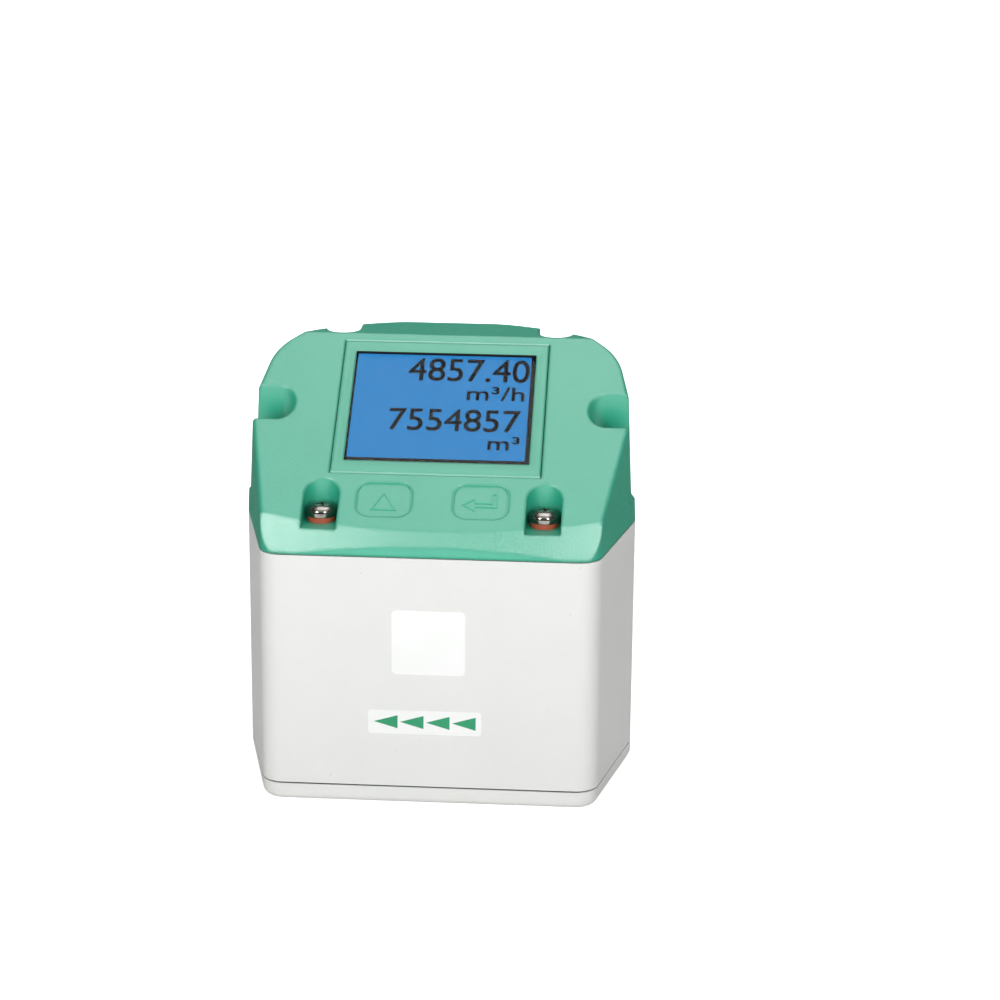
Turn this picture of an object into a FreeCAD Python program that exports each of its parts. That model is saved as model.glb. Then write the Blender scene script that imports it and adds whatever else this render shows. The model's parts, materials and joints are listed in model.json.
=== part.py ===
import FreeCAD, Part
import math
import os
import Sketcher
from FreeCAD import Placement, Rotation, Vector

# Flow meter head with a display cover that turns on the housing.
# Origin: middle of the base's underside. X to the right, Y to the rear, Z up. Millimetres and degrees.

SIZES = {
    # Plan of the housing, a flat hexagon with a ridge at each side
    "front_width": 63.0,
    "ridge_width": 76.0,
    "corner_radius": 4.5,
    "ridge_radius": 2.0,
    # Heights and walls of the housing
    "seam_height": 49.6,
    "wall": 2.5,
    "deck": 3.0,
    "base_thickness": 3.5,
    "base_edge_radius": 1.8,
    "gasket_thickness": 0.3,
    "gasket_inset": 0.3,
    # Display cover
    "head_gap": 0.2,
    "draft_angle": 2.5,
    "face_tilt": 34.0,
    "face_rise": 3.6,
    "face_margin": 2.05,
    "rear_top": 12.3,
    "cover_wall": 2.5,
    "face_wall": 2.4,
    "edge_radius": 0.75,
    "rim_radius": 0.25,
    "shoulder_radius": 12.0,
    "rear_corner": 3.8,
    "rear_slope": 22.0,
    "rear_inset": 0.5,
    "front_radius": 300.0,
    "front_slope": 33.0,
    "fold_inset": 1.8,
    # Screw slots of the cover
    "slot_radius": 3.35,
    "slot_lining": 1.4,
    "slot_margin": 1.1,
    "slot_end_inset": 8.7,
    "side_slot_inset": 6.2,
    "ledge_height": 4.5,
    # Cover screws, their washers and inserts
    "screw_radius": 1.45,
    "screw_clearance": 0.1,
    "screw_length": 4.9,
    "screw_head_radius": 2.8,
    "screw_head_height": 2.2,
    "screw_head_dome": 0.7,
    "washer_radius": 2.75,
    "washer_thickness": 1.0,
    "insert_radius": 2.1,
    # Swivel between the housing and the cover
    "plate_thickness": 3.0,
    "plate_front_inset": 4.5,
    "plate_side_inset": 2.8,
    "spigot_radius": 14.0,
    "spigot_wall": 3.0,
    "spigot_length": 5.7,
    "running_clearance": 0.06,
    "ring_thickness": 0.9,
    "ring_radius": 16.2,
    "ring_depth": 1.0,
    "ring_height": 1.1,
    "glide_radius": 17.5,
    "glide_thickness": 0.5,
    "seal_radius": 17.2,
    "seal_width": 2.2,
    "seal_depth": 1.2,
    "stop_radius": 20.5,
    "stop_pin_radius": 1.0,
    "stop_pin_seat": 2.5,
    "stop_pin_height": 1.5,
    "swivel_travel": 180.0,
    # Display, measured along the sloped face from the front wall
    "bezel_width": 40.0,
    "bezel_height": 33.4,
    "bezel_start": 16.05,
    "bezel_gap": 0.15,
    "bezel_flange": 2.0,
    "bezel_flange_thickness": 1.2,
    "bezel_side_rim": 2.3,
    "bezel_end_rim": 2.95,
    "window_lip": 1.0,
    "window_lip_depth": 0.3,
    "window_thickness": 0.5,
    "screen_border": 0.4,
    "screen_shift": 0.15,
    "screen_thickness": 0.6,
    "screen_block": 3.0,
    "fit_gap": 0.1,
    "board_thickness": 1.6,
    "display_board_low_inset": 0.45,
    "display_board_high_inset": 4.45,
    "display_board_rim": 2.5,
    "display_board_clearance": 1.0,
    "display_post_margin": 3.5,
    "display_post_radius": 2.0,
    "key_width": 10.5,
    "key_height": 8.3,
    "key_across": 9.15,
    "key_start": 5.5,
    "key_radius": 2.6,
    "key_depth": 0.3,
    "key_rim_radius": 0.12,
    "pad_margin": 0.9,
    "pad_thickness": 0.25,
    # Cable from the display to the main board
    "cable_radius": 2.0,
    "plug_radius": 3.5,
    "plug_height": 57.6,
    "socket_radius": 4.5,
    "socket_height": 5.4,
    "socket_floor": 1.4,
    # Main board
    "board_height": 30.6,
    "board_width": 48.0,
    "board_depth": 34.0,
    "post_across": 20.0,
    "post_along": 13.5,
    "post_radius": 3.0,
    "small_screw_radius": 0.9,
    "small_screw_head_radius": 1.9,
    "small_screw_head_height": 1.4,
    "small_screw_length": 6.0,
    "terminal_width": 14.0,
    "terminal_depth": 8.0,
    "terminal_height": 7.0,
    # Base screws and the probe's bush
    "base_screw_side_inset": 3.7,
    "base_screw_end_inset": 7.2,
    "base_boss_radius": 3.2,
    "base_screw_radius": 1.25,
    "base_screw_length": 11.0,
    "base_head_radius": 2.8,
    "base_head_height": 1.5,
    "base_head_sink": 0.1,
    "probe_radius": 5.05,
    "probe_depth": 14.6,
    "probe_wire_radius": 3.0,
    "bush_radius": 8.0,
    "bush_flange_radius": 11.0,
    "bush_flange": 2.5,
    "bush_end": 2.0,
    # Rear connectors
    "connector_across": 12.5,
    "connector_height": 15.6,
    "connector_thread_radius": 6.0,
    "connector_thread_length": 8.5,
    "connector_bore_radius": 4.4,
    "connector_flange_radius": 9.0,
    "connector_flange": 2.5,
    "connector_body_radius": 7.5,
    "connector_tail": 8.0,
    "connector_seal": 0.8,
    "connector_insert_face": 3.5,
    "connector_pin_radius": 0.5,
    "connector_pin_circle": 2.4,
    "connector_pin_reach": 6.0,
    "connector_nut_width": 18.0,
    "connector_nut_thickness": 3.0,
    # Labels on the front
    "label_width": 13.9,
    "label_height": 12.8,
    "label_centre_height": 33.0,
    "label_radius": 0.9,
    "label_thickness": 0.15,
    "flow_label_width": 21.6,
    "flow_label_height": 4.8,
    "flow_label_centre_height": 16.9,
    "flow_label_shift": 0.7,
}

doc = FreeCAD.newDocument("flow_meter_head")
sheet = doc.addObject("Spreadsheet::Sheet", "sizes")
for row, (alias, number) in enumerate(SIZES.items(), start=1):
    sheet.set(f"A{row}", alias)
    sheet.set(f"B{row}", str(number))
    sheet.setAlias(f"B{row}", alias)
doc.recompute()


class Size:
    """A number together with the expression that works it out from the sheet's cells."""

    def __init__(self, value, text):
        self.value = value
        self.text = text

    def __add__(self, other):
        other = as_size(other)
        return Size(self.value + other.value, f"({self.text} + {other.text})")

    def __sub__(self, other):
        other = as_size(other)
        return Size(self.value - other.value, f"({self.text} - {other.text})")

    def __mul__(self, other):
        other = as_size(other)
        return Size(self.value * other.value, f"({self.text} * {other.text})")

    def __truediv__(self, other):
        other = as_size(other)
        return Size(self.value / other.value, f"({self.text} / {other.text})")

    def __neg__(self):
        return Size(-self.value, f"(0 - {self.text})")

    def __rsub__(self, other):
        return as_size(other) - self


def as_size(item):
    if isinstance(item, Size):
        return item
    return Size(float(item), f"({float(item)})")


def cell(alias):
    return Size(float(sheet.get(alias)), f"sizes.{alias}")


def tangent(angle):
    return Size(math.tan(math.radians(angle.value)), f"tan({angle.text} * 1 deg)")


def sine(angle):
    return Size(math.sin(math.radians(angle.value)), f"sin({angle.text} * 1 deg)")


def cosine(angle):
    return Size(math.cos(math.radians(angle.value)), f"cos({angle.text} * 1 deg)")


def hypotenuse(across, along):
    squares = across * across + along * along
    return Size(math.sqrt(squares.value), f"sqrt({squares.text})")


def bind(item, path, size):
    item.setExpression(path, as_size(size).text)


# Helpers for bodies, sketches and features

def new_body(label):
    body = doc.addObject("PartDesign::Body", label)
    body.Label = label
    return body


def place(body, x=0, y=0, z=0, turn=None):
    """Puts a body at a point, turned about X."""
    if turn is not None:
        body.Placement = Placement(Vector(), Rotation(Vector(1, 0, 0), as_size(turn).value))
        bind(body, "Placement.Rotation.Angle", turn)
    for axis, length in zip("xyz", (x, y, z)):
        bind(body, f"Placement.Base.{axis}", length)


def new_sketch(body, name, role="XY_Plane", x=0, y=0, z=0, turn=None):
    """Sketch on one of the body's own planes, moved and turned about X within that plane's frame."""
    sketch = body.newObject("Sketcher::SketchObject", name)
    plane = next(item for item in body.Origin.OriginFeatures if item.Role == role)
    sketch.AttachmentSupport = [(plane, "")]
    sketch.MapMode = "FlatFace"
    if turn is not None:
        sketch.AttachmentOffset = Placement(Vector(), Rotation(Vector(1, 0, 0), turn.value))
        bind(sketch, "AttachmentOffset.Rotation.Angle", turn)
    for axis, length in zip("xyz", (x, y, z)):
        bind(sketch, f"AttachmentOffset.Base.{axis}", length)
    return sketch


def pin_point(sketch, index, position, x, y):
    """Ties a point of the sketch to its coordinates."""
    for kind, axis, length in (("DistanceX", -2, as_size(x)), ("DistanceY", -1, as_size(y))):
        if length.value == 0:
            sketch.addConstraint(Sketcher.Constraint("PointOnObject", index, position, axis))
        elif length.value > 0:
            number = sketch.addConstraint(Sketcher.Constraint(kind, -1, 1, index, position, length.value))
            bind(sketch, f"Constraints[{number}]", length)
        else:
            number = sketch.addConstraint(Sketcher.Constraint(kind, index, position, -1, 1, -length.value))
            bind(sketch, f"Constraints[{number}]", -length)


def add_outline(sketch, corners, arcs=None):
    """Closed outline through the corners, anticlockwise, with an outward arc on each edge in arcs."""
    arcs = arcs or {}
    first = sketch.GeometryCount
    count = len(corners)
    points = [Vector(as_size(x).value, as_size(y).value, 0) for x, y in corners]
    for number in range(count):
        start = points[number]
        end = points[(number + 1) % count]
        if number in arcs:
            radius = arcs[number].value
            chord = end - start
            inward = Vector(-chord.y, chord.x, 0).normalize()
            rise = math.sqrt(radius ** 2 - chord.Length ** 2 / 4)
            centre = (start + end) / 2 + inward * rise
            begin = math.atan2(start.y - centre.y, start.x - centre.x)
            finish = math.atan2(end.y - centre.y, end.x - centre.x)
            circle = Part.Circle(centre, Vector(0, 0, 1), radius)
            sketch.addGeometry(Part.ArcOfCircle(circle, begin, finish))
        else:
            sketch.addGeometry(Part.LineSegment(start, end))
    for number in range(count):
        following = first + (number + 1) % count
        sketch.addConstraint(Sketcher.Constraint("Coincident", first + number, 2, following, 1))
    for number, (x, y) in enumerate(corners):
        pin_point(sketch, first + number, 1, x, y)
    for number, radius in arcs.items():
        index = sketch.addConstraint(Sketcher.Constraint("Radius", first + number, radius.value))
        bind(sketch, f"Constraints[{index}]", radius)


def add_circle(sketch, radius, x=0, y=0):
    radius = as_size(radius)
    centre = Vector(as_size(x).value, as_size(y).value, 0)
    index = sketch.addGeometry(Part.Circle(centre, Vector(0, 0, 1), radius.value))
    pin_point(sketch, index, 3, x, y)
    number = sketch.addConstraint(Sketcher.Constraint("Radius", index, radius.value))
    bind(sketch, f"Constraints[{number}]", radius)


def add_rectangle(sketch, x_low, y_low, x_high, y_high):
    add_outline(sketch, [(x_low, y_low), (x_high, y_low), (x_high, y_high), (x_low, y_high)])


def add_rounded_rectangle(sketch, x_low, y_low, x_high, y_high, radius):
    """Rectangle with quarter arcs at its corners."""
    x_low, y_low, x_high, y_high = (as_size(item) for item in (x_low, y_low, x_high, y_high))
    corners = [
        (x_low + radius, y_low),
        (x_high - radius, y_low),
        (x_high, y_low + radius),
        (x_high, y_high - radius),
        (x_high - radius, y_high),
        (x_low + radius, y_high),
        (x_low, y_high - radius),
        (x_low, y_low + radius),
    ]
    add_outline(sketch, corners, {1: radius, 3: radius, 5: radius, 7: radius})


def add_hexagon(sketch, half_front, half_depth, half_ridge):
    corners = [
        (-half_front, -half_depth),
        (half_front, -half_depth),
        (half_ridge, 0),
        (half_front, half_depth),
        (-half_front, half_depth),
        (-half_ridge, 0),
    ]
    add_outline(sketch, corners)


def add_feature(body, kind, name, sketch, length=None, reverse=False):
    """Pad or Pocket of a sketch. Without a length a Pocket goes right through."""
    feature = body.newObject(f"PartDesign::{kind}", name)
    feature.Profile = sketch
    feature.Reversed = reverse
    if length is None:
        feature.Type = "ThroughAll"
    else:
        bind(feature, "Length", length)
    sketch.Visibility = False
    return feature


def pad(body, name, sketch, length, reverse=False):
    return add_feature(body, "Pad", name, sketch, length, reverse)


def pocket(body, name, sketch, length=None, reverse=False):
    return add_feature(body, "Pocket", name, sketch, length, reverse)


def turn_feature(body, kind, name, sketch):
    """Revolution or Groove of a sketch about the sketch's own vertical axis."""
    feature = body.newObject(f"PartDesign::{kind}", name)
    feature.Profile = sketch
    feature.ReferenceAxis = (sketch, ["V_Axis"])
    feature.Angle = 360
    return feature


def turned(label, profile):
    """Body turned about Z from corners given as radius and height, anticlockwise."""
    body = new_body(label)
    sketch = new_sketch(body, f"{label}_profile", "XZ_Plane")
    add_outline(sketch, profile)
    turn_feature(body, "Revolution", f"{label}_turned", sketch)
    return body


def round_edges(body, name, radius, wanted):
    """Fillet on the edges of the body's present shape that the test picks."""
    doc.recompute()
    solid = body.Tip
    names = [f"Edge{number}" for number, edge in enumerate(solid.Shape.Edges, start=1) if wanted(edge)]
    fillet = body.newObject("PartDesign::Fillet", name)
    fillet.Base = (solid, names)
    bind(fillet, "Radius", radius)
    return fillet


def lean_walls(body, name, angle):
    """Leans the upright walls of the body's present shape inwards from its floor."""
    doc.recompute()
    solid = body.Tip
    rises = {f"Face{number}": face.normalAt(0, 0).z for number, face in enumerate(solid.Shape.Faces, start=1)}
    draft = body.newObject("PartDesign::Draft", name)
    draft.Base = (solid, [face for face, rise in rises.items() if abs(rise) < 0.01])
    draft.NeutralPlane = (solid, [face for face, rise in rises.items() if rise < -0.99])
    bind(draft, "Angle", angle)


def group(label, bodies):
    compound = doc.addObject("Part::Compound", label)
    compound.Label = label
    compound.Links = bodies
    return compound


def corners_of(across, along):
    """The four points at plus and minus the two distances."""
    return [(across * x, along * y) for x in (-1, 1) for y in (-1, 1)]


# Heights and half widths used by several pieces
half_front = cell("front_width") / 2
half_ridge = cell("ridge_width") / 2
tilt = cell("face_tilt")
bezel_half = cell("bezel_width") / 2
bezel_end = cell("bezel_start") + cell("bezel_height")
face_end = bezel_end + cell("face_margin")
# The sloped face and the flat top behind it make up the depth of the body
half_depth = (face_end * cosine(tilt) + cell("rear_top")) / 2
flare = half_ridge - half_front
slant = hypotenuse(flare, half_depth) / half_depth
housing_bottom = cell("base_thickness") + cell("gasket_thickness")
seam = cell("seam_height")
deck_underside = seam - cell("deck")
head_bottom = seam + cell("head_gap")
plate_top = head_bottom + cell("plate_thickness")
ledge = seam + cell("ledge_height")
face_origin = seam + cell("face_rise")
head_top = face_origin + face_end * sine(tilt)
slot_across = bezel_half + cell("slot_margin")
slot_along = half_depth - cell("slot_end_inset")
side_slot_across = half_ridge - cell("side_slot_inset")
base_screw_across = half_front - cell("base_screw_side_inset")
base_screw_along = half_depth - cell("base_screw_end_inset")
base_screw_points = corners_of(base_screw_across, base_screw_along)
nodes = {}


def inset_hexagon(sketch, front_inset, side_inset):
    """The housing's hexagon with its front and rear moved in by one distance and its sides by another."""
    depth = half_depth - front_inset
    ridge = half_ridge - slant * side_inset
    front = ridge - flare * depth / half_depth
    add_hexagon(sketch, front, depth, ridge)


def is_upright(edge):
    """True for the edges that run from the bottom to the top of a hexagon."""
    box = edge.BoundBox
    return box.ZLength > 2 * math.hypot(box.XLength, box.YLength)


def at_corner(edge):
    return is_upright(edge) and abs(edge.CenterOfMass.y) > half_depth.value / 2


def at_ridge(edge):
    return is_upright(edge) and abs(edge.CenterOfMass.y) < half_depth.value / 2


def at_bottom(edge):
    return edge.BoundBox.ZMax < 0.01


def at_outer_corner(edge):
    return is_upright(edge) and abs(edge.CenterOfMass.y) > (half_depth - cell("wall") / 2).value


# Housing
housing = new_body("housing")
outline = new_sketch(housing, "housing_outline", z=housing_bottom)
add_hexagon(outline, half_front, half_depth, half_ridge)
pad(housing, "housing_block", outline, seam - housing_bottom)
round_edges(housing, "housing_corners", cell("corner_radius"), at_corner)
round_edges(housing, "housing_ridges", cell("ridge_radius"), at_ridge)
hollow = new_sketch(housing, "housing_hollow", z=housing_bottom)
inset_hexagon(hollow, cell("wall"), cell("wall"))
pocket(housing, "housing_room", hollow, deck_underside - housing_bottom, reverse=True)
boss_sketch = new_sketch(housing, "base_bosses", z=housing_bottom)
for x, y in base_screw_points:
    add_circle(boss_sketch, cell("base_boss_radius"), x, y)
pad(housing, "base_boss_pads", boss_sketch, deck_underside - housing_bottom)
board_top = cell("board_height") + cell("board_thickness")
post_sketch = new_sketch(housing, "board_posts", z=board_top)
for x, y in corners_of(cell("post_across"), cell("post_along")):
    add_circle(post_sketch, cell("post_radius"), x, y)
pad(housing, "board_post_pads", post_sketch, deck_underside - board_top)
deck_bore = new_sketch(housing, "deck_bore", z=seam)
add_circle(deck_bore, cell("spigot_radius") + cell("running_clearance"))
pocket(housing, "deck_bore_cut", deck_bore, cell("deck"))
seal_inner = cell("seal_radius") - cell("seal_width") / 2
seal_outer = cell("seal_radius") + cell("seal_width") / 2
seal_sketch = new_sketch(housing, "seal_groove", z=seam)
add_circle(seal_sketch, seal_inner - cell("fit_gap"))
add_circle(seal_sketch, seal_outer + cell("fit_gap"))
pocket(housing, "seal_groove_cut", seal_sketch, cell("seal_depth"))
pin_hole = new_sketch(housing, "stop_pin_hole", z=seam)
add_circle(pin_hole, cell("stop_pin_radius") + cell("running_clearance"), 0, cell("stop_radius"))
pocket(housing, "stop_pin_hole_cut", pin_hole, cell("stop_pin_seat"))
pilot_sketch = new_sketch(housing, "base_pilots", z=housing_bottom)
for x, y in base_screw_points:
    add_circle(pilot_sketch, cell("base_screw_radius") + cell("running_clearance"), x, y)
pocket(housing, "base_pilot_cuts", pilot_sketch, cell("base_screw_length"), reverse=True)
post_pilots = new_sketch(housing, "post_pilots", z=board_top)
for x, y in corners_of(cell("post_across"), cell("post_along")):
    add_circle(post_pilots, cell("small_screw_radius") + cell("running_clearance"), x, y)
pocket(housing, "post_pilot_cuts", post_pilots, cell("small_screw_length"), reverse=True)
connector_holes = new_sketch(housing, "connector_holes", "XZ_Plane", z=-half_depth)
for side in (-1, 1):
    hole_radius = cell("connector_body_radius") + cell("fit_gap")
    add_circle(connector_holes, hole_radius, cell("connector_across") * side, cell("connector_height"))
pocket(housing, "connector_hole_cuts", connector_holes, cell("wall") * 1.5, reverse=True)
nodes["housing"] = housing

# Base plate
base = new_body("base_plate")
outline = new_sketch(base, "base_outline")
add_hexagon(outline, half_front, half_depth, half_ridge)
pad(base, "base_block", outline, cell("base_thickness"))
round_edges(base, "base_corners", cell("corner_radius"), at_corner)
round_edges(base, "base_ridges", cell("ridge_radius"), at_ridge)
round_edges(base, "base_lower_edge", cell("base_edge_radius"), at_bottom)
bush_hole = new_sketch(base, "bush_hole")
add_circle(bush_hole, cell("bush_radius") + cell("fit_gap"))
pocket(base, "bush_hole_cut", bush_hole, reverse=True)
screw_holes = new_sketch(base, "base_screw_holes")
for x, y in base_screw_points:
    add_circle(screw_holes, cell("base_screw_radius") + cell("screw_clearance") * 2, x, y)
pocket(base, "base_screw_hole_cuts", screw_holes, reverse=True)
head_holes = new_sketch(base, "base_head_holes")
for x, y in base_screw_points:
    add_circle(head_holes, cell("base_head_radius") + cell("screw_clearance") * 2, x, y)
head_seat = cell("base_head_height") + cell("base_head_sink")
pocket(base, "base_head_hole_cuts", head_holes, head_seat, reverse=True)
nodes["base_plate"] = base

# Seal between the base plate and the housing
gasket = new_body("base_gasket")
gasket_sketch = new_sketch(gasket, "gasket_outline", z=cell("base_thickness"))
inset_hexagon(gasket_sketch, cell("gasket_inset"), cell("gasket_inset"))
inset_hexagon(gasket_sketch, cell("wall"), cell("wall"))
pad(gasket, "gasket_sheet", gasket_sketch, cell("gasket_thickness"))
round_edges(gasket, "gasket_corners", cell("corner_radius"), at_outer_corner)
nodes["base_gasket"] = gasket

# Base screws, put in from below
base_screws = []
for number, (x, y) in enumerate(base_screw_points, start=1):
    profile = [
        (0, cell("base_head_sink")),
        (cell("base_head_radius"), cell("base_head_sink")),
        (cell("base_head_radius"), head_seat),
        (cell("base_screw_radius"), head_seat),
        (cell("base_screw_radius"), cell("base_screw_length")),
        (0, cell("base_screw_length")),
    ]
    screw = turned(f"base_screw_{number}", profile)
    place(screw, x, y)
    base_screws.append(screw)
nodes["base_screws"] = group("base_screws", base_screws)

# Bush that takes the probe's tube from below
bush_shoulder = cell("base_thickness") + cell("bush_flange")
bush_top = cell("probe_depth") + cell("bush_end")
nodes["probe_bush"] = turned("probe_bush", [
    (cell("probe_radius"), 0),
    (cell("bush_radius"), 0),
    (cell("bush_radius"), cell("base_thickness")),
    (cell("bush_flange_radius"), cell("base_thickness")),
    (cell("bush_flange_radius"), bush_shoulder),
    (cell("bush_radius"), bush_shoulder),
    (cell("bush_radius"), bush_top),
    (cell("probe_wire_radius"), bush_top),
    (cell("probe_wire_radius"), cell("probe_depth")),
    (cell("probe_radius"), cell("probe_depth")),
])

# Main board with its screws, the probe's terminal block and the socket of the display cable
main_board = new_body("main_board")
board_sketch = new_sketch(main_board, "main_board_outline", z=cell("board_height"))
board_across = cell("board_width") / 2
board_along = cell("board_depth") / 2
add_rectangle(board_sketch, -board_across, -board_along, board_across, board_along)
for x, y in corners_of(cell("post_across"), cell("post_along")):
    add_circle(board_sketch, cell("small_screw_radius") + cell("screw_clearance"), x, y)
pad(main_board, "main_board_sheet", board_sketch, cell("board_thickness"))
nodes["main_board"] = main_board

board_screws = []
for number, (x, y) in enumerate(corners_of(cell("post_across"), cell("post_along")), start=1):
    head_low = cell("board_height") - cell("small_screw_head_height")
    screw_tip = board_top + cell("small_screw_length")
    profile = [
        (0, head_low),
        (cell("small_screw_head_radius"), head_low),
        (cell("small_screw_head_radius"), cell("board_height")),
        (cell("small_screw_radius"), cell("board_height")),
        (cell("small_screw_radius"), screw_tip),
        (0, screw_tip),
    ]
    screw = turned(f"main_board_screw_{number}", profile)
    place(screw, x, y)
    board_screws.append(screw)
nodes["main_board_screws"] = group("main_board_screws", board_screws)

terminal = doc.addObject("Part::Box", "terminal_block")
bind(terminal, "Length", cell("terminal_width"))
bind(terminal, "Width", cell("terminal_depth"))
bind(terminal, "Height", cell("terminal_height"))
bind(terminal, "Placement.Base.x", -cell("terminal_width") / 2)
bind(terminal, "Placement.Base.y", -cell("terminal_depth") / 2)
bind(terminal, "Placement.Base.z", cell("board_height") - cell("terminal_height"))
nodes["terminal_block"] = terminal

socket_bore = cell("cable_radius") + cell("running_clearance")
socket_top = board_top + cell("socket_height")
socket_bed = board_top + cell("socket_floor")
nodes["cable_socket"] = turned("cable_socket", [
    (0, board_top),
    (cell("socket_radius"), board_top),
    (cell("socket_radius"), socket_top),
    (socket_bore, socket_top),
    (socket_bore, socket_bed),
    (0, socket_bed),
])

# Swivel: plate with a spigot, ring, glide washer, seal and stop pin
plate = new_body("swivel_plate")
plate_sketch = new_sketch(plate, "plate_outline", z=head_bottom)
inset_hexagon(plate_sketch, cell("plate_front_inset"), cell("plate_side_inset"))
pad(plate, "plate_sheet", plate_sketch, cell("plate_thickness"))
spigot_sketch = new_sketch(plate, "spigot_outline", z=head_bottom)
add_circle(spigot_sketch, cell("spigot_radius"))
pad(plate, "spigot_tube", spigot_sketch, cell("spigot_length"), reverse=True)
spigot_bore = new_sketch(plate, "spigot_bore", z=plate_top)
add_circle(spigot_bore, cell("spigot_radius") - cell("spigot_wall"))
pocket(plate, "spigot_bore_cut", spigot_bore)
spigot_bottom = head_bottom - cell("spigot_length")
ring_low = spigot_bottom + cell("ring_height")
ring_top = ring_low + cell("ring_thickness")
ring_groove = new_sketch(plate, "ring_groove", "XZ_Plane")
ring_seat = cell("spigot_radius") - cell("ring_depth")
ring_play = cell("fit_gap") / 2
add_rectangle(ring_groove, ring_seat, ring_low - ring_play, cell("ring_radius"), ring_top + ring_play)
turn_feature(plate, "Groove", "ring_groove_cut", ring_groove)
cover_screw_points = corners_of(slot_across, slot_along)
cover_screw_points += [(-side_slot_across, as_size(0)), (side_slot_across, as_size(0))]
insert_holes = new_sketch(plate, "insert_holes", z=plate_top)
for x, y in cover_screw_points:
    add_circle(insert_holes, cell("insert_radius"), x, y)
pocket(plate, "insert_hole_cuts", insert_holes)
# The stop pin runs in an arc whose ends leave the pin its own radius and a little room
stop_groove = new_sketch(plate, "stop_groove", "XZ_Plane")
groove_half = cell("stop_pin_radius") + cell("fit_gap") * 2
groove_top = head_bottom + cell("stop_pin_height") + cell("fit_gap") * 2
add_rectangle(
    stop_groove, cell("stop_radius") - groove_half, head_bottom - cell("fit_gap"),
    cell("stop_radius") + groove_half, groove_top)
stop_cut = turn_feature(plate, "Groove", "stop_groove_cut", stop_groove)
end_room = groove_half / cell("stop_radius") * (180 / math.pi) * 2
bind(stop_cut, "Angle", cell("swivel_travel") + end_room)
stop_cut.Midplane = True
nodes["swivel_plate"] = plate

nodes["retaining_ring"] = turned("retaining_ring", [
    (ring_seat + ring_play, ring_low),
    (cell("ring_radius"), ring_low),
    (cell("ring_radius"), ring_top),
    (ring_seat + ring_play, ring_top),
])
glide_inner = cell("spigot_radius") + cell("fit_gap") * 3
nodes["glide_washer"] = turned("glide_washer", [
    (glide_inner, deck_underside - cell("glide_thickness")),
    (cell("glide_radius"), deck_underside - cell("glide_thickness")),
    (cell("glide_radius"), deck_underside),
    (glide_inner, deck_underside),
])
nodes["swivel_seal"] = turned("swivel_seal", [
    (seal_inner, seam - cell("seal_depth")),
    (seal_outer, seam - cell("seal_depth")),
    (seal_outer, seam + cell("head_gap") / 2),
    (seal_inner, seam + cell("head_gap") / 2),
])
stop_pin = turned("stop_pin", [
    (0, seam - cell("stop_pin_seat")),
    (cell("stop_pin_radius"), seam - cell("stop_pin_seat")),
    (cell("stop_pin_radius"), head_bottom + cell("stop_pin_height")),
    (0, head_bottom + cell("stop_pin_height")),
])
place(stop_pin, 0, cell("stop_radius"), 0)
nodes["stop_pin"] = stop_pin

# Inserts, washers and screws of the cover
inserts = []
washers = []
cover_screws = []
washer_top = ledge + cell("washer_thickness")
screw_top = washer_top + cell("screw_head_height")
screw_bottom = washer_top - cell("screw_length")
thread_bore = cell("screw_radius") + cell("screw_clearance")
for number, (x, y) in enumerate(cover_screw_points, start=1):
    insert = turned(f"thread_insert_{number}", [
        (thread_bore, head_bottom),
        (cell("insert_radius"), head_bottom),
        (cell("insert_radius"), plate_top),
        (thread_bore, plate_top),
    ])
    place(insert, x, y)
    inserts.append(insert)
    washer = turned(f"seal_washer_{number}", [
        (thread_bore, ledge),
        (cell("washer_radius"), ledge),
        (cell("washer_radius"), washer_top),
        (thread_bore, washer_top),
    ])
    place(washer, x, y)
    washers.append(washer)
    screw = turned(f"cover_screw_{number}", [
        (0, screw_bottom),
        (cell("screw_radius"), screw_bottom),
        (cell("screw_radius"), washer_top),
        (cell("screw_head_radius"), washer_top),
        (cell("screw_head_radius"), screw_top - cell("screw_head_dome")),
        (cell("screw_head_radius") - cell("screw_head_dome"), screw_top),
        (0, screw_top),
    ])
    place(screw, x, y)
    cover_screws.append(screw)
nodes["thread_inserts"] = group("thread_inserts", inserts)
nodes["seal_washers"] = group("seal_washers", washers)
nodes["cover_screws"] = group("cover_screws", cover_screws)

# Display cover
far = cell("ridge_width")
beyond = far / 4
# The rear rounding runs from the ridge line, a little inside the walls, to the middle of the rear
ridge_along = half_depth - cell("rear_top")
wall_lean = tangent(cell("draft_angle")) * (head_top - head_bottom) * slant
rear_half = half_ridge - flare * ridge_along / half_depth - wall_lean - cell("rear_corner")
rear_reach = half_depth - cell("rear_inset")
rear_depth = rear_reach - ridge_along
rear_radius = (rear_half * rear_half + rear_depth * rear_depth) / (rear_depth * 2)


def slope_cut(body, name, depth):
    """Takes off everything above the sloped face, or above a plane at a depth below it."""
    drop = as_size(depth) / cosine(tilt)
    start = -half_depth - far
    start_height = face_origin - drop - tangent(tilt) * far
    end = half_depth + far
    end_height = face_origin - drop + tangent(tilt) * (half_depth * 2 + far)
    sketch = new_sketch(body, f"{name}_profile", "YZ_Plane", z=-far)
    top = end_height + far
    add_outline(sketch, [(start, start_height), (end, end_height), (end, top), (start, top)])
    pocket(body, name, sketch, far * 2, reverse=True)


def rear_cut(body, name, inset):
    """Rounds the rear corners off with a cone that is narrowest at the top."""
    low = head_bottom
    top_radius = rear_radius - inset
    low_radius = top_radius + tangent(cell("rear_slope")) * (head_top - low)
    high = head_top + beyond
    high_radius = top_radius - tangent(cell("rear_slope")) * beyond
    sketch = new_sketch(body, f"{name}_profile", "YZ_Plane", x=rear_reach - rear_radius)
    add_outline(sketch, [(-high_radius, high), (-far, high), (-far, low), (-low_radius, low)])
    turn_feature(body, "Groove", name, sketch)


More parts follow.
